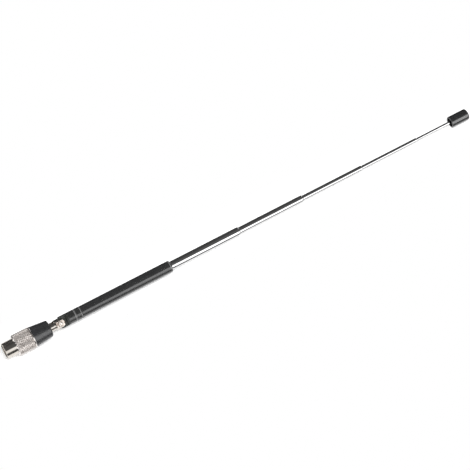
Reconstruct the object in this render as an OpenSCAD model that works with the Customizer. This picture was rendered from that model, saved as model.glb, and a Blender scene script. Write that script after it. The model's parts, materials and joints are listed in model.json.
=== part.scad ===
// Telescopic antenna on a coaxial aerial plug, with a swivel and an elbow behind the plug.
// It lies along +X with the plug at the low end. The origin is on the axis, where the plug's
// barrel leaves the knurled body. The stem is turned so that the elbow's pin leans to low Y.

/* [Coaxial plug] */
// Outer diameter of the plug's barrel
barrel_d = 9.5; // [9:0.1:10]
// Length of barrel in front of the knurled body
barrel_len = 6.7; // [5:0.1:9]
// Wall of the barrel
barrel_wall = 0.6; // [0.4:0.05:0.9]
// Diameter of the centre contact
contact_d = 2.35; // [2:0.05:2.6]
// Step from the centre contact up to where the disc grips it
contact_grip_step = 0.225; // [0.1:0.025:0.5]
// How far the centre contact stays back inside the mouth
contact_setback = 0.5; // [0.2:0.1:2]
// Thickness of the insulating disc that carries the centre contact
insulator_len = 3.6; // [2.5:0.1:4.5]
// How far the front of the disc stands behind the knurled body's front
insulator_setback = 1.0; // [0.4:0.1:2]
// Step from the barrel up to the shell's land, inside the knurled body's front lip
shell_land_step = 0.3; // [0.2:0.05:0.5]
// Step from the land up to the shell, which the lip catches
shell_catch_step = 0.35; // [0.2:0.05:0.6]
// Bore of the shell behind the disc
shell_bore = 7.0; // [6.6:0.1:7.4]
// Wall of the shell's spigot inside the boot
shell_spigot_wall = 1.0; // [0.7:0.05:1.2]
// Length of the shell's spigot inside the boot
shell_spigot_len = 4.0; // [3:0.1:4.6]

/* [Knurled body] */
// Wall of the knurled body, up to the points of the knurl
knurl_wall = 0.93; // [0.6:0.01:1.2]
// Length of the knurled body
knurl_len = 11.1; // [10:0.1:14]
// Depth of the knurl
knurl_depth = 0.36; // [0.2:0.02:0.5]
// Number of diamonds round the body
knurl_count = 30; // [20:1:40]
// Lean of the knurl's grooves from the axis, in degrees
knurl_lean = 41; // [30:1:45]
// Width of the plain rim at the back
rim_len = 0.75; // [0.4:0.05:1.5]
// Thickness of the front lip that holds the body on the shell
lip_len = 0.9; // [0.6:0.1:1.4]
// Chamfer at the front edge
front_chamfer = 0.65; // [0.2:0.05:0.7]

/* [Boot] */
// Wall of the boot at the knurled body, round the shell's spigot
boot_wall = 1.48; // [0.8:0.02:1.6]
// Wall of the boot at its back end, round the stem's collar
boot_wall_back = 0.875; // [0.6:0.025:1.2]
// Rounding of the boot's back edge
boot_round = 0.9; // [0.4:0.1:1.2]
// Thickness of the boot's end wall, in which the stem turns
boot_wall_end = 3.25; // [2.6:0.05:3.6]
// Free length inside the boot, between the shell's spigot and the stem's end
boot_room = 1.52; // [0.5:0.01:2]

/* [Swivel stem] */
// Diameter of the stem
stem_d = 5.0; // [4.6:0.1:5.4]
// Length of stem between the boot and the elbow's head
stem_out = 2.95; // [2:0.05:4]
// Step from the stem up to the collar that keeps it in the boot
collar_step = 1.25; // [0.8:0.05:1.4]
// Gap all round between the collar and the boot
collar_gap = 0.35; // [0.1:0.05:0.5]
// Thickness of the collar
collar_len = 1.5; // [1:0.1:2]
// Diameter of the stem's end, on which the collar is pressed
collar_bore = 3.6; // [3.2:0.1:4]
// Thickness of the spring washer behind the boot's end wall
swivel_washer_t = 0.3; // [0.2:0.05:0.4]
// Wire of the contact spring
spring_wire = 0.45; // [0.35:0.05:0.55]
// Gap all round between the contact spring and the centre contact
spring_gap = 0.375; // [0.2:0.025:0.6]
// Coils of the contact spring
spring_coils = 6; // [5:1:8]

/* [Elbow] */
// Diameter of the elbow's head, and the width of its round end
head_d = 5.8; // [5.6:0.1:6.2]
// Height of the head over its flats
head_h = 4.6; // [4.4:0.1:5]
// Distance from the pin back to where the flats start to run out
flat_reach = 1.6; // [1.2:0.1:2.4]
// Radius in which the flats run out
flat_run_out = 1.0; // [0.5:0.1:2]
// Distance from the start of the head to the pin
head_reach = 3.0; // [2.9:0.1:4]
// Lean of the pin from upright, towards low Y, in degrees
pin_lean = 42; // [0:1:90]
// Diameter of the pin
pin_d = 2.0; // [1.6:0.1:2.2]
// Diameter of the pin's heads
pin_head_d = 3.1; // [2.8:0.1:3.2]
// Height of the pin's heads
pin_head_h = 0.5; // [0.3:0.05:0.7]
// Thickness of the tongue
tongue_t = 1.9; // [1.6:0.1:2]
// How much smaller than the head the tongue's round nose is, all round
nose_step = 0.3; // [0.1:0.05:0.5]
// Thickness of each friction washer
hinge_washer_t = 0.25; // [0.15:0.05:0.3]
// Outer diameter of the friction washers
hinge_washer_d = 4.4; // [4:0.1:4.6]
// Gap between the tongue's swinging corners and the fork
swing_gap = 0.5; // [0.2:0.05:0.8]
// Distance from the pin to the tongue's wide shoulders
shoulder_reach = 0.45; // [0.2:0.05:1.5]
// Rounding of the shoulders' corners
shoulder_round = 0.6; // [0.2:0.05:1]
// Gap between the head's swinging corners and the round part of the housing
relief_gap = 0.43; // [0.15:0.01:0.8]

/* [Base] */
// Wall of the ferrule on the base tube, which the housing's diameter follows
ferrule_wall = 0.5; // [0.4:0.01:0.7]
// Length of the round part of the housing
housing_len = 5.7; // [4:0.1:8]
// Length of the black ferrule behind the housing
ferrule_len = 3.65; // [2.5:0.05:5]
// Length of the black sleeve over the base tube
sleeve_len = 58.2; // [54:0.1:64]
// Wall of the black sleeve
sleeve_wall = 0.43; // [0.3:0.01:0.6]
// Length of the base tube's bright end, in front of the sleeve
base_rim = 0.45; // [0.35:0.05:1.5]
// Length of the housing's spigot inside the base tube
spigot_len = 7.6; // [7:0.1:8]
// Depth of the two rolled crimps that hold the base tube on the spigot
crimp_depth = 0.3; // [0.2:0.05:0.4]
// Width of each rolled crimp
crimp_len = 1.4; // [1:0.1:1.6]
// Rounding of the black pieces' edges
black_round = 0.42; // [0.2:0.01:0.45]
// Length over which the round part of the housing is rounded off, at the elbow
seam_round = 1.2; // [0.4:0.1:1.6]

/* [Telescope diameters] */
// Diameter of the tip rod
rod_d = 1.7; // [1.5:0.05:2]
// Space all round between the tip rod and the fourth tube
rod_space = 0.15; // [0.12:0.01:0.2]
// Wall of the fourth tube
tube4_wall = 0.15; // [0.12:0.01:0.2]
// Space all round between the fourth tube and the third
tube4_space = 0.18; // [0.14:0.01:0.25]
// Wall of the third tube
tube3_wall = 0.17; // [0.14:0.01:0.25]
// Space all round between the wider tubes
wide_space = 0.25; // [0.18:0.01:0.35]
// Wall of the two widest tubes and of the base tube
wide_wall = 0.25; // [0.2:0.01:0.3]

/* [Telescope lengths] */
// First tube, length drawn out
tube1_out = 45.2; // [30:0.1:46]
// Second tube, length drawn out
tube2_out = 42.8; // [30:0.1:44]
// Third tube, length drawn out
tube3_out = 40.7; // [30:0.1:42]
// Fourth tube, length drawn out
tube4_out = 38.1; // [30:0.1:40]
// Tip rod, length drawn out, up to the cap
rod_out = 23.4; // [14:0.1:36]
// Tip rod, length inside the fourth tube at rest
rod_in = 18.7; // [8:0.1:20]
// Length that the first tube keeps inside the base tube
tube1_hold = 9.0; // [8:0.1:9.4]
// Length that the second tube keeps inside the first
tube2_hold = 8.5; // [7:0.1:9]
// Length that the third tube keeps inside the second
tube3_hold = 8.0; // [7:0.1:9]
// Length that the fourth tube keeps inside the third
tube4_hold = 7.5; // [7:0.1:8]
// Length of each tube's end over which it is rolled in
neck_len = 0.9; // [0.6:0.05:1.2]
// Length of the rod's split bush
rod_bush_len = 6.0; // [4:0.1:6.4]
// Distance left before a drawn-out tube's bush meets the rolled end around it
stop_gap = 0.3; // [0.1:0.05:0.5]
// Length of the flare that keeps a bush on its tube
flare_len = 0.35; // [0.2:0.05:0.5]
// Width of the split in a bush
split_w = 0.4; // [0.2:0.05:0.6]

/* [Tip cap] */
// Wall of the cap round its recess
cap_wall = 0.6; // [0.4:0.05:1]
// Length of the cap
cap_len = 12.2; // [10:0.1:14]
// Length of the cap's rounded end
cap_round = 0.9; // [0.5:0.05:1.5]
// Gap all round between the recess in the cap's underside and the first tube
cap_recess_gap = 0.3; // [0.1:0.05:0.4]
// Depth of that recess
cap_recess = 2.2; // [1.8:0.1:3]
// Length of rod held in the cap, past the recess
cap_grip = 5.5; // [4:0.1:6]

/* [Fits] */
// Gap all round between pieces that turn or slide on each other
running_gap = 0.05; // [0.03:0.01:0.08]
// Gap all round between pieces that are fixed to each other
seat_gap = 0.02; // [0.01:0.005:0.03]
// Gap between faces that turn past each other
face_gap = 0.03; // [0.02:0.01:0.05]

/* [Hidden] */

// Diameters of the rod and the tubes, from the inside out
tube4_bore = rod_d + 2 * rod_space;
tube4_d = tube4_bore + 2 * tube4_wall;
tube3_bore = tube4_d + 2 * tube4_space;
tube3_d = tube3_bore + 2 * tube3_wall;
tube2_bore = tube3_d + 2 * wide_space;
tube2_d = tube2_bore + 2 * wide_wall;
tube1_bore = tube2_d + 2 * wide_space;
tube1_d = tube1_bore + 2 * wide_wall;
base_bore = tube1_d + 2 * wide_space;
base_d = base_bore + 2 * wide_wall;
spigot_d = base_bore - 2 * seat_gap;
housing_d = base_d + 2 * (seat_gap + ferrule_wall);
sleeve_d = base_d + 2 * (seat_gap + sleeve_wall);
cap_recess_d = tube1_d + 2 * cap_recess_gap;
cap_d = cap_recess_d + 2 * cap_wall;

// Diameters of the plug, each from what it goes over
barrel_bore = barrel_d - 2 * barrel_wall;
shell_land_d = barrel_d + 2 * shell_land_step;
shell_d = shell_land_d + 2 * shell_catch_step;
knurl_d = shell_d + 2 * (seat_gap + knurl_wall);
shell_spigot_d = shell_bore + 2 * shell_spigot_wall;
boot_d = shell_spigot_d + 2 * (seat_gap + boot_wall);
collar_d = stem_d + 2 * collar_step;
boot_bore = collar_d + 2 * collar_gap;
boot_end_d = boot_bore + 2 * boot_wall_back;
contact_grip_d = contact_d + 2 * contact_grip_step;
spring_d = contact_d + 2 * (spring_gap + spring_wire);

// Inside the elbow
nose_d = head_d - 2 * nose_step;
slot_back = norm([shoulder_reach, housing_d / 2]) + swing_gap;
relief_reach = norm([head_reach, head_d / 2]) + relief_gap;
slot_h = tongue_t + 2 * hinge_washer_t + 4 * face_gap;
tongue_bore = pin_d + 2 * running_gap;
fork_bore = pin_d + 2 * seat_gap;

// Lengths inside the boot, from the shell's spigot to the end wall
peen_len = 0.4;
collar_room = peen_len + seat_gap + collar_len + swivel_washer_t + 2 * face_gap;
boot_len = shell_spigot_len + boot_room + collar_room + boot_wall_end;

// Places along the rod, each from the one before
x_mouth = -barrel_len;
x_knurl = knurl_len;
x_boot = x_knurl + boot_len;
x_head = x_boot + stem_out;
x_pivot = x_head + head_reach;
x_seam = x_pivot + relief_reach;
x_housing = x_seam + housing_len;
x_ferrule = x_housing + ferrule_len;
x_sleeve = x_ferrule + sleeve_len;
x_base = x_sleeve + base_rim;
x_tube1 = x_base + tube1_out;
x_tube2 = x_tube1 + tube2_out;
x_tube3 = x_tube2 + tube3_out;
x_tube4 = x_tube3 + tube4_out;
x_cap = x_tube4 + rod_out;

// Inside the plug
insulator_back = insulator_setback + insulator_len;
spigot_end = x_knurl + shell_spigot_len;
end_wall_x = x_boot - boot_wall_end;
collar_back = end_wall_x - swivel_washer_t - 2 * face_gap;
collar_front = collar_back - collar_len;
peen_d = collar_bore + 0.5;
pin_flange_d = spring_d + 0.2;
pin_flange_len = 1.2;
pin_tail_d = contact_d - 0.1;
pin_tail_len = 2.4;
spring_front = insulator_back + pin_flange_len + face_gap;
spring_back = collar_front - peen_len - 2 * face_gap;
crimp_at = [x_housing + 1.9, x_housing + 5.1];

nickel = [0.80, 0.77, 0.72];
chrome = [0.86, 0.87, 0.89];
black = [0.10, 0.10, 0.11];
brass = [0.78, 0.62, 0.32];

// Points of a quarter of an ellipse, from (r, x - a) to (r - b, x); dir -1 turns it to low x
function quarter(r, x, b, a, dir = 1, n = 7) =
    [for (i = [0:n]) [r - b + b * cos(90 * i / n), x - dir * a + dir * a * sin(90 * i / n)]];

function reversed(list) = [for (i = [len(list) - 1:-1:0]) list[i]];

// Turns a profile about the rod's axis. In the profile, x is the radius and y the place.
module turned(fn = 96) {
    rotate([0, 90, 0])
        rotate_extrude($fn = fn)
            children();
}

// A plain step of a turned profile
module step(d_in, d_out, x0, x1) {
    translate([d_in / 2, x0])
        square([(d_out - d_in) / 2, x1 - x0]);
}

// What a rounding of radius f takes off a turned profile's corner
module corner(d, x, f, dir) {
    translate([d / 2 - f, x - dir * f])
        difference() {
            translate([0, dir > 0 ? 0 : -f - 0.1])
                square([f + 0.1, f + 0.1]);
            circle(r = f, $fn = 48);
        }
}

// Turns a piece of the elbow so that the pin leans
module leaned() {
    rotate([pin_lean, 0, 0])
        children();
}

module plug_shell() {
    color(nickel)
        turned()
            difference() {
                union() {
                    step(barrel_bore, barrel_d, x_mouth, 0.5);
                    step(barrel_bore, shell_land_d, 0, lip_len + 0.5);
                    step(barrel_bore, shell_d, lip_len + seat_gap, insulator_back);
                    step(shell_bore, shell_d, insulator_back, x_knurl);
                    step(shell_bore, shell_spigot_d, x_knurl, spigot_end);
                }
                corner(barrel_d, x_mouth, barrel_wall / 2, -1);
                corner(shell_spigot_d, spigot_end, 0.3, 1);
            }
}

module insulator() {
    d = barrel_bore - 2 * seat_gap;
    color("ivory")
        turned()
            difference() {
                step(contact_grip_d + 2 * seat_gap, d, insulator_setback, insulator_back - seat_gap);
                corner(d, insulator_setback, 0.25, -1);
            }
}

module centre_pin() {
    front = x_mouth + contact_setback;
    flange = insulator_back;
    tail = flange + pin_flange_len;
    color(nickel)
        turned(64)
            difference() {
                union() {
                    step(0, contact_d, front, flange);
                    step(0, contact_grip_d, insulator_setback, flange + 0.5);
                    step(0, pin_flange_d, flange, tail);
                    step(0, pin_tail_d, tail - 0.5, tail + pin_tail_len);
                }
                corner(contact_d, front, contact_d * 0.4, -1);
                corner(pin_tail_d, tail + pin_tail_len, 0.3, 1);
            }
}

// Coil of round wire. Its first and last turns lie close, as on a spring with closed ends.
module contact_spring() {
    sides = 6;
    per_turn = 14;
    rings = spring_coils * per_turn;
    r = (spring_d - spring_wire) / 2;
    closed = spring_wire + 0.02;
    run = spring_back - spring_front - spring_wire - 2 * closed;
    function rise(turn) =
        turn < 1 ? closed * turn :
        turn > spring_coils - 1 ? closed + run + closed * (turn - spring_coils + 1) :
        closed + run * (turn - 1) / (spring_coils - 2);
    points = [
        for (i = [0:rings]) let (turn = i / per_turn, a = 360 * turn)
            for (s = [0:sides - 1]) let (b = 360 * s / sides, q = r + spring_wire / 2 * cos(b))
                [spring_front + spring_wire / 2 + rise(turn) + spring_wire / 2 * sin(b), q * cos(a), q * sin(a)]
    ];
    walls = [
        for (i = [0:rings - 1])
            for (s = [0:sides - 1]) let (t = (s + 1) % sides)
                [i * sides + s, i * sides + t, (i + 1) * sides + t, (i + 1) * sides + s]
    ];
    ends = [[for (s = [sides - 1:-1:0]) s], [for (s = [0:sides - 1]) rings * sides + s]];
    color("silver")
        polyhedron(points, concat(walls, ends));
}

// Skin through rings of points that run round the rod's axis, closed from the last ring to the
// first. Between two rings of knurl, the diagonals follow the grooves.
module ring_skin(rings, around, knurl_rows) {
    count = len(rings);
    walls = [
        for (k = [0:count - 1])
            for (m = [0:around - 1]) let (
                n = (m + 1) % around,
                q = (k + 1) % count,
                a = k * around + m, b = k * around + n, c = q * around + n, d = q * around + m
            )
                each (
                    k >= knurl_rows ? [[a, b, c, d]] :
                    (m + k) % 2 == 0 ? [[a, b, d], [b, c, d]] :
                    [[a, b, c], [a, c, d]]
                )
    ];
    polyhedron([for (ring = rings) each ring], walls);
}

// Diamond knurl: points and groove crossings take turns round each ring and from ring to ring,
// so the grooves run along both diagonals. The first ring follows the front chamfer.
module knurled_body() {
    around = 2 * knurl_count;
    pitch = PI * knurl_d / knurl_count;
    band = knurl_len - rim_len;
    rows = round(2 * band * tan(knurl_lean) / pitch);
    rim_r = knurl_d / 2 - 0.05;
    seat_r = shell_d / 2 + seat_gap;
    hole_r = shell_land_d / 2 + seat_gap;
    function edge(x) = knurl_d / 2 - max(0, front_chamfer - x);
    function ring(r, x) = [for (m = [0:around - 1]) let (a = 360 * m / around) [x, r * cos(a), r * sin(a)]];
    knurl = [
        for (k = [0:rows]) let (x = band * k / rows)
            [for (m = [0:around - 1]) let (
                tall = (m + k) % 2 == 0 && k < rows,
                r = min(knurl_d / 2 - (tall ? 0 : knurl_depth), edge(x)),
                a = 360 * m / around
            ) [x, r * cos(a), r * sin(a)]]
    ];
    color(nickel)
        ring_skin(concat(knurl, [
            ring(rim_r, band),
            ring(rim_r, knurl_len - 0.2),
            ring(rim_r - 0.2, knurl_len),
            ring(seat_r, knurl_len),
            ring(seat_r, lip_len),
            ring(hole_r, lip_len),
            ring(hole_r, 0)
        ]), around, rows);
}

module boot() {
    front = x_knurl + seat_gap;
    color(black)
        turned()
            difference() {
                polygon(concat(
                    [[0, front], [boot_d / 2, front]],
                    quarter(boot_end_d / 2, x_boot, boot_round, boot_round),
                    [[0, x_boot]]
                ));
                step(0, shell_spigot_d + 2 * seat_gap, front - 1, spigot_end + seat_gap);
                step(0, boot_bore, front - 1, end_wall_x);
                step(0, stem_d + 2 * running_gap, front - 1, x_boot + 1);
            }
}

module swivel_washer() {
    x = collar_back + face_gap;
    color("silver")
        turned()
            step(stem_d + 2 * running_gap, collar_d - 0.3, x, x + swivel_washer_t);
}

module stem_collar() {
    color(brass)
        turned()
            step(collar_bore + 2 * seat_gap, collar_d, collar_front, collar_back);
}

// Turned stem with a forked head. Its inner end carries the collar and is peened over it.
module stem_fork() {
    shoulder = collar_back + seat_gap;
    color(nickel)
        leaned()
            difference() {
                union() {
                    turned()
                        difference() {
                            union() {
                                step(0, peen_d, collar_front - peen_len - seat_gap, collar_front - seat_gap);
                                step(0, collar_bore, collar_front - peen_len, shoulder + 0.5);
                                step(0, stem_d, shoulder, x_head + 0.5);
                            }
                            corner(peen_d, collar_front - peen_len - seat_gap, 0.25, -1);
                        }
                    intersection() {
                        turned()
                            difference() {
                                step(0, head_d, x_head, x_pivot + head_d / 2);
                                corner(head_d, x_head, 0.3, -1);
                            }
                        linear_extrude(2 * head_d, center = true)
                            union() {
                                translate([x_head - 1, -head_d])
                                    square([head_reach + 1, 2 * head_d]);
                                translate([x_pivot, 0])
                                    circle(d = head_d, $fn = 96);
                            }
                    }
                }
                head_flats();
                translate([x_pivot - slot_back, -head_d, -slot_h / 2])
                    cube([slot_back + head_d, 2 * head_d, slot_h]);
                translate([x_pivot, 0, 0])
                    cylinder(d = fork_bore, h = 2 * head_h, center = true, $fn = 48);
            }
}

// What is milled off the head on both sides, out to the end, with a run-out towards the stem
module head_flats() {
    x = x_pivot - flat_reach;
    for (side = [-1, 1])
        translate([0, 0, side * head_h / 2])
            rotate([90, 0, 0])
                linear_extrude(3 * head_d, center = true)
                    union() {
                        translate([x, side < 0 ? -head_d : 0])
                            square([2 * head_d, head_d]);
                        translate([x, side * flat_run_out])
                            circle(r = flat_run_out, $fn = 48);
                    }
}

// Pin, riveted over on both cheeks of the fork
module hinge_pin() {
    face = head_h / 2 + seat_gap;
    upper = concat(
        [[pin_d / 2, face], [pin_head_d / 2, face]],
        quarter(pin_head_d / 2, face + pin_head_h, pin_head_d / 2, pin_head_h * 0.8)
    );
    lower = [for (p = reversed(upper)) [p.x, -p.y]];
    color(nickel)
        leaned()
            translate([x_pivot, 0, 0])
                rotate_extrude($fn = 64)
                    polygon(concat(lower, upper));
}

module hinge_washers() {
    low = tongue_t / 2 + face_gap;
    color("silver")
        leaned()
            for (side = [-1, 1])
                translate([x_pivot, 0, side * (low + hinge_washer_t / 2)])
                    difference() {
                        cylinder(d = hinge_washer_d, h = hinge_washer_t, center = true, $fn = 64);
                        cylinder(d = tongue_bore, h = 1, center = true, $fn = 48);
                    }
}

// Outline of the tongue: a round nose about the pin, then wide shoulders up to the round part
module tongue_outline() {
    x = x_pivot + shoulder_reach;
    half = housing_d / 2;
    translate([x_pivot, 0])
        circle(d = nose_d, $fn = 96);
    translate([x_pivot, -nose_d / 2])
        square([relief_reach, nose_d]);
    translate([x, shoulder_round - half])
        square([relief_reach, 2 * (half - shoulder_round)]);
    translate([x + shoulder_round, -half - 1])
        square([x_seam + 1 - x - shoulder_round, 2 * half + 2]);
    for (side = [-1, 1])
        translate([x + shoulder_round, side * (half - shoulder_round)])
            circle(r = shoulder_round, $fn = 48);
}

// Black elbow housing: a flat tongue with a round nose, then a round part, and inside the base
// tube a spigot with two grooves for the rolled crimps.
module hinge_housing() {
    spigot_back = x_housing + spigot_len;
    color(black)
        leaned()
            difference() {
                union() {
                    turned()
                        difference() {
                            union() {
                                step(0, housing_d, x_seam, x_housing);
                                step(0, spigot_d, x_housing - 0.5, spigot_back);
                            }
                            seam_corner();
                            corner(housing_d, x_housing, black_round, 1);
                            corner(spigot_d, spigot_back, 0.5, 1);
                            for (x = crimp_at)
                                translate([spigot_d / 2, x])
                                    crimp_shape(seat_gap);
                        }
                    intersection() {
                        turned()
                            step(0, housing_d, x_pivot - nose_d, x_seam + 1);
                        linear_extrude(tongue_t, center = true)
                            tongue_outline();
                    }
                }
                translate([x_pivot, 0, 0])
                    cylinder(d = tongue_bore, h = 4 * tongue_t, center = true, $fn = 48);
            }
}

// What the rounding at the elbow takes off the front of the housing's round part
module seam_corner() {
    r = housing_d / 2;
    polygon(concat(
        [[r + 1, x_seam + seam_round], [r + 1, x_seam - 1], [r - black_round, x_seam - 1]],
        reversed(quarter(r, x_seam, black_round, seam_round, -1))
    ));
}

// Half-round hollow of a rolled crimp, centred where it is placed; grow widens it all round
module crimp_shape(grow) {
    polygon([
        for (i = [0:10]) let (u = i / 5 - 1)
            [grow + 0.05 - (crimp_depth + grow + 0.05) * pow(cos(90 * u), 2) - grow, u * (crimp_len / 2 + grow)]
    ]);
}

module ferrule() {
    front = x_housing + seat_gap;
    back = x_ferrule - seat_gap;
    color(black)
        turned()
            difference() {
                step(base_d + 2 * seat_gap, housing_d, front, back);
                corner(housing_d, front, black_round * 0.5, -1);
                corner(housing_d, back, black_round, 1);
            }
}

// Wall of the base tube where a crimp rolls it inwards, as a shift of its radius
function rolled(x) =
    -crimp_depth * max([for (c = crimp_at) abs(x - c) < crimp_len / 2 ? pow(cos(180 * (x - c) / crimp_len), 2) : 0]);

module base_tube() {
    front = x_housing + seat_gap;
    hole = tube1_d + 2 * running_gap;
    stations = [
        front,
        for (c = crimp_at) for (i = [-5:5]) c + crimp_len * i / 10
    ];
    color(chrome)
        turned()
            polygon(concat(
                [for (x = stations) [base_d / 2 + rolled(x), x]],
                quarter(base_d / 2, x_base, (base_d - hole) / 2, neck_len),
                reversed(quarter(base_bore / 2, x_base - wide_wall, (base_bore - hole) / 2, neck_len - wide_wall)),
                [for (x = reversed(stations)) [base_bore / 2 + rolled(x), x]]
            ));
}

module black_sleeve() {
    front = x_ferrule + seat_gap;
    color(black)
        turned()
            difference() {
                step(base_d + 2 * seat_gap, sleeve_d, front, x_sleeve);
                corner(sleeve_d, front, black_round * 0.5, -1);
                corner(sleeve_d, x_sleeve, 0.25, 1);
            }
}

// One drawn tube: flared at its inner end, x0, and rolled in at its outer end, x1
module drawn_tube(d, wall, x0, x1, next_d, flare) {
    bore = d - 2 * wall;
    hole = next_d + 2 * running_gap;
    color(chrome)
        turned()
            polygon(concat(
                [[bore / 2, x0], [d / 2 + flare, x0], [d / 2 + flare, x0 + flare_len], [d / 2, x0 + flare_len]],
                quarter(d / 2, x1, (d - hole) / 2, neck_len),
                reversed(quarter(bore / 2, x1 - wall, (bore - hole) / 2, neck_len - wall))
            ));
}

// Split bush of spring brass on the inner end of a tube, filling the space to the outer tube
module split_bush(d, outer_bore, x0, x1) {
    color(brass)
        difference() {
            turned()
                step(d + seat_gap, outer_bore - 2 * running_gap, x0 + flare_len + seat_gap, x1);
            translate([x0, -split_w / 2, 0])
                cube([x1 - x0 + 1, split_w, outer_bore]);
        }
}

// Thickness of the flare: most of what the bush fills
function flare(d, outer_bore) = 0.7 * ((outer_bore - d) / 2 - running_gap);

module tube_1() {
    drawn_tube(tube1_d, wide_wall, x_base - tube1_hold, x_tube1, tube2_d, flare(tube1_d, base_bore));
}

module tube_2() {
    drawn_tube(tube2_d, wide_wall, x_tube1 - tube2_hold, x_tube2, tube3_d, flare(tube2_d, tube1_bore));
}

module tube_3() {
    drawn_tube(tube3_d, tube3_wall, x_tube2 - tube3_hold, x_tube3, tube4_d, flare(tube3_d, tube2_bore));
}

module tube_4() {
    drawn_tube(tube4_d, tube4_wall, x_tube3 - tube4_hold, x_tube4, rod_d, flare(tube4_d, tube3_bore));
}

module tip_rod() {
    x0 = x_tube4 - rod_in;
    color(chrome)
        turned(48)
            union() {
                step(0, rod_d, x0, x_cap + cap_recess + cap_grip);
                step(0, rod_d + 2 * flare(rod_d, tube4_bore), x0, x0 + flare_len);
            }
}

module bush_1() {
    split_bush(tube1_d, base_bore, x_base - tube1_hold, x_base - neck_len - stop_gap);
}

module bush_2() {
    split_bush(tube2_d, tube1_bore, x_tube1 - tube2_hold, x_tube1 - neck_len - stop_gap);
}

module bush_3() {
    split_bush(tube3_d, tube2_bore, x_tube2 - tube3_hold, x_tube2 - neck_len - stop_gap);
}

module bush_4() {
    split_bush(tube4_d, tube3_bore, x_tube3 - tube4_hold, x_tube3 - neck_len - stop_gap);
}

module bush_5() {
    split_bush(rod_d, tube4_bore, x_tube4 - rod_in, x_tube4 - rod_in + rod_bush_len);
}

// Black cap, hollow underneath so that it takes the tubes' stepped ends when all are pushed in
module tip_cap() {
    end = x_cap + cap_len;
    dome = 0.25;
    color(black)
        turned()
            difference() {
                polygon(concat(
                    [[0, x_cap], [cap_d / 2, x_cap]],
                    quarter(cap_d / 2, end - dome, cap_round, cap_round),
                    [for (i = [1:5]) let (r = (cap_d / 2 - cap_round) * (1 - i / 5))
                        [r, end - dome * pow(r / (cap_d / 2 - cap_round), 2)]]
                ));
                corner(cap_d, x_cap, 0.3, -1);
                step(0, cap_recess_d, x_cap - 1, x_cap + cap_recess);
                step(0, rod_d + 2 * seat_gap, x_cap, x_cap + cap_recess + cap_grip + seat_gap);
            }
}

plug_shell();
insulator();
centre_pin();
contact_spring();
knurled_body();
boot();
swivel_washer();
stem_collar();
stem_fork();
hinge_pin();
hinge_washers();
hinge_housing();
ferrule();
base_tube();
black_sleeve();
tube_1();
tube_2();
tube_3();
tube_4();
tip_rod();
bush_1();
bush_2();
bush_3();
bush_4();
bush_5();
tip_cap();
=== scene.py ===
"""Looks of the telescopic antenna: materials, floor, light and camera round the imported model."""
import json
import math

import bpy
from mathutils import Matrix, Vector


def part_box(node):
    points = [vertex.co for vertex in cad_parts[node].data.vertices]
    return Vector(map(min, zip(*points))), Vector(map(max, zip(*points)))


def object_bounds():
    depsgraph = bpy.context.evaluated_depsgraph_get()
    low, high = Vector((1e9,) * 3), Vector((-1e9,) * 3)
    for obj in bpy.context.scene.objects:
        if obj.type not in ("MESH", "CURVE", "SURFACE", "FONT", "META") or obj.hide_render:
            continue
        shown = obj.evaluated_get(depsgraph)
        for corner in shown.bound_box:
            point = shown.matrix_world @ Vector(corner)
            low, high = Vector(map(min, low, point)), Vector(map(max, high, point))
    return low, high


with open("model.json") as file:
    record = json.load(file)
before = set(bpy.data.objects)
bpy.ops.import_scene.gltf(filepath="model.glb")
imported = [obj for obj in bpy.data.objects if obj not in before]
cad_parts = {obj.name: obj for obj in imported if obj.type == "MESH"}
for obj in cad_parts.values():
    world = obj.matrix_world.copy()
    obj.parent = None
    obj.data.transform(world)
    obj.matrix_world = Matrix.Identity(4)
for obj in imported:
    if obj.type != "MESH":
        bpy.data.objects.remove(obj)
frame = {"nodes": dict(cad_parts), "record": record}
nodes = frame["nodes"]
cad_box = [list(corner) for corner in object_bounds()]

MM = 0.001

# Places on the part in millimetres, along the rod from the origin or out from the rod's axis
BORE_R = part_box("insulator")[1].z / MM
FRONT_CHAMFER = 0.65
KNURL_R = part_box("knurled_body")[1].z / MM
KNURL_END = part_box("knurled_body")[1].x / MM
KNURL_DEPTH = 0.36
KNURL_RIM = 0.73                   # length of the plain rim behind the knurl
HEAD_START, HEAD_END = 25.75, 32.2    # the elbow's head, which has the milled flats
FLAT_OUT = 2.28                    # how far each flat lies from the middle of the head
PIN_Y, PIN_Z = -0.6691, 0.7431     # direction of the elbow's pin, square to the flats
HOUSING_END, FERRULE_END = (corner.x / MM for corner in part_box("ferrule"))
DULL_TO = HOUSING_END - 4.9        # the housing is dull up to here, next to the elbow
SLEEVE_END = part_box("black_sleeve")[1].x / MM
# bands where a grey highlight is painted on the rounded ends of the housing, the ferrule and the sleeve
LACQUER_HIGHLIGHT_RINGS = [(end - 0.60, end + 0.20) for end in (HOUSING_END, FERRULE_END)]
SLEEVE_HIGHLIGHT_RING = [(SLEEVE_END - 0.85, SLEEVE_END - 0.40)]


# Node helpers

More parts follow.
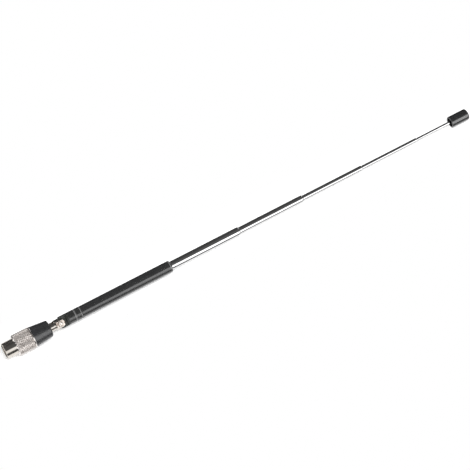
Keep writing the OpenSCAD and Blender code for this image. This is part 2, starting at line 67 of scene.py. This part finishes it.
class Tree:
    """A node tree, with short calls for the nodes that are used here."""

    def __init__(self, owner):
        owner.use_nodes = True
        self.tree = owner.node_tree
        self.tree.nodes.clear()

    def add(self, kind, inputs=None, **settings):
        node = self.tree.nodes.new(kind)
        for name, value in settings.items():
            setattr(node, name, value)
        for name, value in (inputs or {}).items():
            self.put(node.inputs[name], value)
        return node

    def put(self, socket, value):
        if isinstance(value, bpy.types.NodeSocket):
            self.tree.links.new(value, socket)
        else:
            socket.default_value = value

    def math(self, operation, a, b=0.0):
        return self.add("ShaderNodeMath", {0: a, 1: b}, operation=operation).outputs[0]

    def remap(self, value, low, high, out_low=0.0, out_high=1.0):
        """From out_low to out_high as the value goes from low to high, with soft ends."""
        node = self.add(
            "ShaderNodeMapRange",
            {"Value": value, "From Min": low, "From Max": high, "To Min": out_low, "To Max": out_high},
            interpolation_type="SMOOTHSTEP",
        )
        return node.outputs["Result"]

    def mix(self, factor, a, b):
        node = self.add("ShaderNodeMix", data_type="RGBA")
        self.put(node.inputs[0], factor)
        self.put(node.inputs[6], a)
        self.put(node.inputs[7], b)
        return node.outputs[2]

    def times(self, *factors):
        total = factors[0]
        for factor in factors[1:]:
            total = self.math("MULTIPLY", total, factor)
        return total

    def place(self, scale=(1.0, 1.0, 1.0)):
        """The object's own coordinates in millimetres, times scale."""
        where = self.add("ShaderNodeTexCoord").outputs["Object"]
        node = self.add("ShaderNodeMapping", {"Vector": where, "Scale": [s / MM for s in scale]})
        return node.outputs["Vector"]

    def noise(self, scale, detail=3.0, rough=0.5, stretch=(1.0, 1.0, 1.0)):
        """Noise whose features are about 1/scale mm wide, or wider along a stretched axis."""
        node = self.add(
            "ShaderNodeTexNoise",
            {"Vector": self.place(stretch), "Scale": scale, "Detail": detail, "Roughness": rough},
        )
        return node.outputs["Fac"]

    def along(self):
        """Distance along the rod, in millimetres."""
        return self.add("ShaderNodeSeparateXYZ", {0: self.place()}).outputs["X"]

    def radius(self):
        """Distance from the rod's axis, in millimetres."""
        parts = self.add("ShaderNodeSeparateXYZ", {0: self.place()})
        y, z = parts.outputs["Y"], parts.outputs["Z"]
        return self.math("SQRT", self.math("ADD", self.times(y, y), self.times(z, z)))

    def blunted(self, share):
        """The surface's normal, turned by a share towards straight out from the rod's axis."""
        across = (0.0, 1.0, 1.0)
        flat = self.add("ShaderNodeVectorMath", {0: self.place(), 1: across}, operation="MULTIPLY")
        outward = self.add("ShaderNodeVectorMath", {0: flat.outputs[0]}, operation="NORMALIZE")
        own = self.add("ShaderNodeNewGeometry").outputs["Normal"]
        both = self.add("ShaderNodeMix", {0: share}, data_type="VECTOR")
        self.put(both.inputs[4], own)
        self.put(both.inputs[5], outward.outputs[0])
        turned = self.add("ShaderNodeVectorMath", {0: both.outputs[1]}, operation="NORMALIZE")
        return turned.outputs[0]

    def bump(self, height, strength, distance, under=None):
        inputs = {"Height": height, "Strength": strength, "Distance": distance}
        if under is not None:
            inputs["Normal"] = under
        return self.add("ShaderNodeBump", inputs).outputs["Normal"]


def grey(v):
    return (v, v, v, 1.0)


def finish_material(tree, **inputs):
    shader = tree.add("ShaderNodeBsdfPrincipled", inputs)
    tree.add("ShaderNodeOutputMaterial", {"Surface": shader.outputs[0]})


# Materials

def plated(name, light, dark, rough, lines, line_scale, line_depth=0.012, smudge=0.07):
    """Plated metal: clouded by handling, with fine tool or drawing lines."""
    material = bpy.data.materials.new(name)
    t = Tree(material)
    cloud = t.noise(0.22, detail=4.0, rough=0.6)
    grain = t.noise(line_scale, detail=2.0, stretch=lines)
    colour = t.mix(t.remap(cloud, 0.35, 0.7), light, dark)
    wiped = t.remap(t.noise(0.6, detail=5.0, rough=0.65), 0.45, 0.75)
    roughness = t.math("ADD", t.math("MULTIPLY", wiped, smudge), t.math("MULTIPLY", grain, rough * 0.4))
    roughness = t.math("ADD", roughness, rough * 0.8)
    finish_material(
        t,
        **{
            "Base Color": colour,
            "Metallic": 1.0,
            "Roughness": roughness,
            "Normal": t.bump(grain, 0.25, line_depth * MM),
        },
    )
    return material


def nickel(name):
    """Dull nickel: turned all over, satin in the plug's bore, and milled on the two flats of the
    elbow's head, where it is rougher, creamy and scratched along the cut."""
    material = bpy.data.materials.new(name)
    t = Tree(material)
    parts = t.add("ShaderNodeSeparateXYZ", {0: t.place()})
    x, y, z = (parts.outputs[axis] for axis in "XYZ")
    across = t.math("ADD", t.times(z, PIN_Z), t.times(y, PIN_Y))
    flat = t.remap(t.math("ABSOLUTE", across), FLAT_OUT - 0.02, FLAT_OUT + 0.02)
    flat = t.times(flat, t.remap(x, HEAD_START - 0.15, HEAD_START + 0.15))
    flat = t.times(flat, t.remap(x, HEAD_END + 0.2, HEAD_END - 0.2))
    cloud = t.remap(t.noise(0.3, detail=4.0, rough=0.6), 0.35, 0.7)
    turned = t.noise(14.0, detail=2.0, stretch=(1.0, 0.06, 0.06))
    cut = t.noise(2.6, detail=4.0, rough=0.6, stretch=(0.35, 1.0, 1.0))
    blot = t.remap(t.noise(0.8, detail=4.0, rough=0.6), 0.42, 0.62)
    smooth = t.mix(cloud, (0.80, 0.755, 0.70, 1), (0.72, 0.665, 0.60, 1))
    milled = t.mix(blot, (0.97, 0.91, 0.85, 1), (0.46, 0.37, 0.31, 1))
    wiped = t.remap(t.noise(0.6, detail=5.0, rough=0.65), 0.45, 0.75)
    rough = t.math("ADD", t.times(wiped, 0.06), t.math("ADD", t.times(turned, 0.05), 0.08))
    rough = t.math("ADD", rough, t.times(flat, t.math("ADD", t.times(cut, 0.25), 0.20)))
    bored = t.times(t.remap(t.radius(), BORE_R + 0.04, BORE_R), t.remap(x, 0.0, -0.2))
    rough = t.math("ADD", rough, t.times(bored, 0.35))
    lines = t.bump(turned, 0.25, 0.012 * MM)
    finish_material(
        t,
        **{
            "Base Color": t.mix(flat, smooth, milled),
            "Metallic": 1.0,
            "Roughness": rough,
            "Normal": t.bump(t.times(cut, flat), 0.8, 0.06 * MM, lines),
        },
    )
    return material


def knurled(name):
    """Nickel on a knurl: bright on the points, and in the grooves dull, a little dirty and darker
    with painted shade. The front chamfer and the rim behind the knurl are plain turned metal."""
    material = bpy.data.materials.new(name)
    t = Tree(material)
    along = t.along()
    rim = KNURL_END - KNURL_RIM
    chamfer = t.remap(along, FRONT_CHAMFER + 0.05, FRONT_CHAMFER - 0.05)
    turned = t.math("MAXIMUM", chamfer, t.remap(along, rim - 0.03, rim + 0.03))
    cut = t.math("SUBTRACT", 1.0, turned)
    top = t.remap(t.radius(), KNURL_R - KNURL_DEPTH, KNURL_R - KNURL_DEPTH / 3)
    top = t.math("MAXIMUM", top, turned)
    dirt = t.remap(t.noise(0.9, detail=5.0, rough=0.65), 0.40, 0.66)
    wear_and_painted_highlight = t.remap(t.noise(0.5, detail=4.0, rough=0.6, stretch=(0.4, 1.0, 1.0)), 0.42, 0.62)
    speck = t.times(t.remap(t.noise(0.9, detail=5.0, rough=0.75), 0.46, 0.58), cut)
    # painted shade: the grooves are coloured far darker than the points, in a tone that varies at random
    # like dirt
    groove_with_painted_shade = t.mix(dirt, (0.56, 0.50, 0.46, 1), (0.20, 0.17, 0.15, 1))
    crest = t.mix(wear_and_painted_highlight, (0.92, 0.87, 0.84, 1), (1.0, 0.96, 0.93, 1))
    crest = t.mix(t.times(speck, 0.5), crest, groove_with_painted_shade)
    roughness = t.math("ADD", t.times(t.math("SUBTRACT", 1.0, top), 0.15), t.times(dirt, 0.08))
    roughness = t.math("ADD", roughness, 0.16)
    softer = t.blunted(t.remap(turned, 0.0, 1.0, 0.33, 0.0))
    finish_material(
        t,
        **{
            "Base Color": t.mix(top, groove_with_painted_shade, crest),
            "Metallic": t.remap(turned, 0.0, 1.0, 0.55, 1.0),
            "IOR": 1.5,
            "Roughness": t.math("SUBTRACT", roughness, t.times(turned, 0.05)),
            "Normal": t.bump(t.noise(9.0, detail=3.0), 0.3, 0.02 * MM, softer),
        },
    )
    return material


NOWHERE = -100.0    # a place in front of the whole part


def black(
    name,
    tone,
    rough,
    grain_scale=6.0,
    grain_depth=0.02,
    lines=(1.0, 1.0, 1.0),
    ior=2.0,
    highlight_rings=(),
    dull_to=NOWHERE,
):
    """Black plastic or lacquer: fine grain, and scuffs that dull it here and there. Each highlight ring is
    a band round the rod, from one place to another in millimetres, with a painted grey highlight on
    the rounded edge. Up to the place dull_to it is dull and slightly green, as at the elbow."""
    material = bpy.data.materials.new(name)
    t = Tree(material)
    cloud = t.noise(0.35, detail=4.0, rough=0.6)
    paler = tuple(c * 1.35 for c in tone[:3]) + (1,)
    colour = t.mix(t.remap(cloud, 0.35, 0.7), tone, paler)
    scuff = t.remap(t.noise(1.6, detail=6.0, rough=0.7, stretch=(0.35, 1.0, 1.0)), 0.52, 0.74)
    grain = t.noise(grain_scale, detail=3.0, stretch=lines)
    roughness = t.math("ADD", t.math("MULTIPLY", scuff, 0.10), t.math("MULTIPLY", grain, 0.06))
    roughness = t.math("ADD", roughness, rough)
    dull = t.remap(t.along(), dull_to + 0.5, dull_to)
    colour = t.mix(dull, colour, (0.010, 0.0125, 0.009, 1))
    roughness = t.math("ADD", roughness, t.times(dull, 0.45))
    for start, end in highlight_rings:
        from_middle = t.math("ABSOLUTE", t.math("SUBTRACT", t.along(), (start + end) / 2))
        inside = t.math("SUBTRACT", (end - start) / 2, from_middle)
        # painted highlight: a grey band laid on the rounded edge, a little uneven with the cloud
        wear_and_painted_highlight = t.times(t.remap(inside, -0.10, 0.12), t.remap(cloud, 0.25, 0.45, 0.55, 0.9))
        colour = t.mix(wear_and_painted_highlight, colour, grey(0.18))
        roughness = t.math("ADD", roughness, t.times(wear_and_painted_highlight, 0.15))
    finish_material(
        t,
        **{
            "Base Color": colour,
            "Roughness": roughness,
            "IOR": ior,
            "Normal": t.bump(grain, 0.35, grain_depth * MM),
        },
    )
    return material


def moulded(name):
    """Natural white plastic of the insulating disc."""
    material = bpy.data.materials.new(name)
    t = Tree(material)
    cloud = t.noise(0.5, detail=4.0)
    grain = t.noise(7.0, detail=3.0)
    finish_material(
        t,
        **{
            "Base Color": t.mix(cloud, (0.80, 0.775, 0.70, 1), (0.88, 0.86, 0.80, 1)),
            "Roughness": t.math("ADD", t.math("MULTIPLY", grain, 0.2), 0.35),
            "IOR": 1.48,
            "Normal": t.bump(grain, 0.3, 0.02 * MM),
        },
    )
    return material


ROUND_LINES = (1.0, 0.06, 0.06)    # tool lines that run round a turned piece
LONG_LINES = (0.03, 1.0, 1.0)      # drawing lines that run along a tube
SLEEVE_LINES = (0.12, 1.0, 1.0)    # the sleeve's shorter ones

MATERIALS = {
    "nickel": nickel("nickel"),
    "knurled_nickel": knurled("knurled_nickel"),
    "chrome_plate": plated("chrome_plate", grey(0.88), grey(0.83), 0.05, LONG_LINES, 9.0, 0.005, 0.04),
    "black_plastic": black("black_plastic", (0.014, 0.0145, 0.0155, 1), 0.20),
    "satin_black": black("satin_black", (0.0195, 0.020, 0.0215, 1), 0.30, ior=1.75),
    "black_sleeve": black(
        "black_sleeve", (0.019, 0.0195, 0.020, 1), 0.17, 5.0, 0.012, SLEEVE_LINES, highlight_rings=SLEEVE_HIGHLIGHT_RING
    ),
    "black_lacquer": black(
        "black_lacquer", (0.0195, 0.020, 0.019, 1), 0.20, 8.0, 0.012, highlight_rings=LACQUER_HIGHLIGHT_RINGS, dull_to=DULL_TO
    ),
    "brass": plated("brass", (0.80, 0.62, 0.32, 1), (0.66, 0.48, 0.24, 1), 0.24, LONG_LINES, 12.0),
    "spring_steel": plated("spring_steel", grey(0.68), grey(0.60), 0.28, ROUND_LINES, 16.0),
    "insulator": moulded("insulator"),
}

SLOTS = {part["node"]: part["material_slot"] for part in frame["record"]["subparts"]}
for name, node in nodes.items():
    node.data.materials.clear()
    node.data.materials.append(MATERIALS[SLOTS[name]])


# Floor

FLOOR_HALF = 1.6             # half the side of the table top, in metres
SEEN_TO = (12.0, 20.0)       # the table fades to the world's white this far from the rod, in mm
FRONT_SHARE = 1.6            # in front of the rod it fades this many times sooner


def make_floor():
    """Plain white table top, on which the knurled body and the cap rest. The camera sees it round
    the rod, bright and with the rod's shadow, and further out and from below it sees the white
    world instead. Metal mirrors the studio below, and light for what swings below it passes."""
    low_x, high_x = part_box("knurled_body")[1].x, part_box("tip_cap")[0].x
    low_z, high_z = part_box("knurled_body")[0].z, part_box("tip_cap")[0].z
    slope = (high_z - low_z) / (high_x - low_x)
    half = FLOOR_HALF
    corners = [(-half, -half), (half, -half), (half, half), (-half, half)]
    mesh = bpy.data.meshes.new("floor")
    mesh.from_pydata([(x, y, low_z + slope * (x - low_x)) for x, y in corners], [], [(0, 1, 2, 3)])
    floor = bpy.data.objects.new("floor", mesh)
    bpy.context.scene.collection.objects.link(floor)
    material = bpy.data.materials.new("floor")
    t = Tree(material)
    path = t.add("ShaderNodeLightPath").outputs
    paper = t.noise(0.02, detail=3.0)
    white = t.mix(path["Is Camera Ray"], t.mix(paper, grey(0.88), grey(0.92)), grey(1.15))
    diffuse = t.add("ShaderNodeBsdfDiffuse", {"Color": white})
    clear = t.add("ShaderNodeBsdfTransparent")

    place = t.add("ShaderNodeSeparateXYZ", {0: t.place()})
    start, end = cad_box[0][0] / MM, cad_box[1][0] / MM
    from_middle = t.math("ABSOLUTE", t.math("SUBTRACT", place.outputs["X"], (start + end) / 2))
    past_end = t.math("MAXIMUM", t.math("SUBTRACT", from_middle, (end - start) / 2), 0.0)
    aside = t.math("MAXIMUM", place.outputs["Y"], t.times(place.outputs["Y"], -FRONT_SHARE))
    away = t.math("SQRT", t.math("ADD", t.times(past_end, past_end), t.times(aside, aside)))
    below = t.add("ShaderNodeNewGeometry").outputs["Backfacing"]
    unseen = t.math("MAXIMUM", t.remap(away, *SEEN_TO), below)
    passed = t.math("MAXIMUM", path["Is Glossy Ray"], path["Is Transmission Ray"])
    passed = t.math("MAXIMUM", passed, path["Is Shadow Ray"])
    passed = t.math("MAXIMUM", passed, t.times(unseen, path["Is Camera Ray"]))
    both = t.add("ShaderNodeMixShader", {0: passed, 1: diffuse.outputs[0], 2: clear.outputs[0]})
    t.add("ShaderNodeOutputMaterial", {"Surface": both.outputs[0]})
    mesh.materials.append(material)


make_floor()


# Light

# These are shares of a mirrored direction that point along the rod, to +X. In the photograph each
# piece mirrors other shares, so the first three pairs mark where the boot gives way to the stem,
# the sleeve to the tubes, and the last tube to the cap.
PAST_BOOT = (0.128, 0.134)
PAST_SLEEVE = (0.190, 0.204)
PAST_TUBES = (0.335, 0.35)
IN_PHOTO = (0.03, 0.50)      # all that the rod's side mirrors in the photograph
CARD = (-0.62, -0.74)        # the white card begins here, towards the plug's end


def between(t, value, low, high, soft_low=0.05, soft_high=0.05):
    """1 where the value lies between low and high, with soft ends."""
    above = t.remap(value, t.math("SUBTRACT", low, soft_low), t.math("ADD", low, soft_low))
    below = t.remap(value, t.math("ADD", high, soft_high), t.math("SUBTRACT", high, soft_high))
    return t.times(above, below)


def photo_side(t, along, angle):
    """The studio as the tubes mirror it at the photograph's angle: one long softbox in front of
    the rod, a dark gap at the level and the table below it. The table is nearer to the level
    where the plug mirrors it, and the softbox is brighter where the tip cap does."""
    box_low = t.remap(along, *PAST_SLEEVE, 0.32, -0.05)
    box_high = t.remap(along, *PAST_SLEEVE, 0.95, 0.86)
    box_soft = t.remap(along, *PAST_SLEEVE, 0.14, 0.05)
    box_power = t.math("ADD", t.remap(along, 0.125, 0.18, 0.85, 1.7), t.remap(along, *PAST_TUBES, 0.0, 1.9))
    box = t.times(between(t, angle, box_low, box_high, box_soft), box_power)
    table_near = t.remap(along, *PAST_BOOT, -0.34, -0.50)
    table_near = t.math("ADD", table_near, t.remap(along, *PAST_SLEEVE, 0.0, -0.22))
    table_far = t.remap(along, *PAST_BOOT, -2.76, -2.05)
    table = t.times(between(t, angle, table_far, table_near), 0.95)
    return t.math("ADD", box, table)


def other_sides(t, along, y, z):
    """The same studio for all other directions: a softbox and the table on either side, and the
    shade straight below the rod."""
    slope = t.math("ARCTAN2", z, t.math("ABSOLUTE", y))
    box = t.times(between(t, slope, 0.32, 0.86, 0.10), between(t, along, -0.7, 0.7), 1.2)
    table = t.times(t.remap(slope, -0.35, -0.45), t.remap(slope, -1.35, -1.20, 0.6, 0.95))
    return t.math("ADD", box, table)


def studio_reflection(t):
    """What metal and gloss mirror: a dark room, softboxes, the white table, and a white card low
    at the plug's end. Angles are in radians round the rod, from the level in front."""
    way = t.add("ShaderNodeSeparateXYZ", {0: t.add("ShaderNodeTexCoord").outputs["Generated"]})
    along, y, z = (way.outputs[axis] for axis in "XYZ")
    angle = t.math("ARCTAN2", z, t.times(y, -1.0))
    in_photo = between(t, along, *IN_PHOTO, 0.02)
    studio = t.math(
        "ADD",
        t.times(photo_side(t, along, angle), in_photo),
        t.times(other_sides(t, along, y, z), t.math("SUBTRACT", 1.0, in_photo)),
    )
    room = t.remap(t.math("ABSOLUTE", t.math("SUBTRACT", angle, 1.35)), 0.9, 0.2, 0.055, 0.095)
    card_side = t.math("MAXIMUM", between(t, angle, -2.5, 1.3, 0.1, 0.1), t.remap(along, -0.85, -0.93))
    card = t.times(t.remap(along, *CARD), card_side, 0.9)
    return t.math("ADD", t.times(t.math("ADD", studio, room), t.math("SUBTRACT", 1.0, card)), card)


def make_world():
    """White to the camera, plain soft light on surfaces, and a studio in reflections."""
    world = bpy.data.worlds.new("studio")
    bpy.context.scene.world = world
    world.cycles.sampling_method = "NONE"
    t = Tree(world)
    path = t.add("ShaderNodeLightPath")
    lit = t.mix(path.outputs["Is Glossy Ray"], grey(0.50), studio_reflection(t))
    seen = t.mix(path.outputs["Is Camera Ray"], lit, grey(1.0))
    background = t.add("ShaderNodeBackground", {"Color": seen, "Strength": 1.0})
    t.add("ShaderNodeOutputWorld", {"Surface": background.outputs[0]})


def aim(obj, target):
    obj.rotation_euler = (Vector(target) - obj.location).to_track_quat("-Z", "Y").to_euler()


def make_lamp(name, place, target, size, power):
    data = bpy.data.lights.new(name, "AREA")
    data.shape = "RECTANGLE"
    data.size, data.size_y = size
    data.energy = power
    lamp = bpy.data.objects.new(name, data)
    lamp.location = place
    bpy.context.scene.collection.objects.link(lamp)
    aim(lamp, target)
    lamp.visible_glossy = False


make_world()
make_lamp("top_light", place=(0.12, -0.28, 0.88), target=(0.15, 0.0, 0.0), size=(0.5, 0.4), power=7.5)


# Camera

def make_camera():
    """Camera at the photograph's angle, from its azimuth, elevation, distance and focal length."""
    azimuth, elevation, distance = -30.11, 62.49, 1191.3
    focal_px, frame_px = 2060.0, 470.0
    sensor = 36.0
    target = Vector((142.38, -1.21, 0.0)) * MM
    turn = Matrix.Rotation(math.radians(azimuth), 3, "Z")
    turn = turn @ Matrix.Rotation(math.radians(90 - elevation), 3, "X")
    data = bpy.data.cameras.new("camera")
    data.sensor_fit = "HORIZONTAL"
    data.sensor_width = sensor
    data.lens = sensor * focal_px / frame_px
    data.clip_start, data.clip_end = 0.05, 20.0
    camera = bpy.data.objects.new("camera", data)
    camera.rotation_euler = turn.to_euler()
    camera.location = target + turn @ Vector((0, 0, distance * MM))
    bpy.context.scene.collection.objects.link(camera)
    bpy.context.scene.camera = camera


make_camera()
bpy.context.scene.view_settings.view_transform = "Standard"
